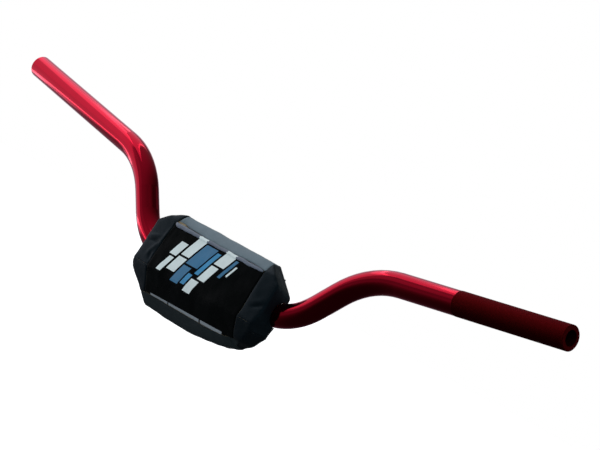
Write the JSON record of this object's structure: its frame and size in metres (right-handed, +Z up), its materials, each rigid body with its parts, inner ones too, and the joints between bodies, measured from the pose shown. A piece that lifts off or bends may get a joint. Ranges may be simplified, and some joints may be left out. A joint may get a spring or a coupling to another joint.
{
  "type": "off-road motorcycle handlebar",
  "caption": "Braceless tapered handlebar: a bent red anodised tube with a knurled left grip zone and a faceted foam crash pad strapped over its clamp zone.",
  "frame": {"origin": "centre of the clamp zone, on the tube's axis", "axes": "+X to the rider's right along the clamp zone, +Y forward, +Z up in the plane of the two risers"},
  "size_m": [0.792, 0.0479, 0.1601],
  "materials": {
    "red_anodised": "polished",
    "foam": "matte",
    "gloss_vinyl": "gloss",
    "matte_vinyl": "satin",
    "backing_cloth": "matte",
    "webbing": "matte",
    "hook_tape": "matte",
    "loop_tape": "matte"
  },
  "bodies": {
    "root": {"handlebar_tube": "red_anodised", "pad_foam_core": "foam", "front_panel": "gloss_vinyl", "front_lip": "gloss_vinyl", "top_gusset": "matte_vinyl", "bottom_gusset": "matte_vinyl", "upper_end_gusset_right": "matte_vinyl", "upper_end_gusset_left": "matte_vinyl", "lower_end_gusset_right": "matte_vinyl", "lower_end_gusset_left": "matte_vinyl", "back_panel_upper": "backing_cloth", "back_panel_lower": "backing_cloth", "strap_right": "webbing", "strap_left": "webbing", "hook_patch_right": "hook_tape", "hook_patch_left": "hook_tape", "loop_patch_right": "loop_tape", "loop_patch_left": "loop_tape"}
  },
  "joints": []
}
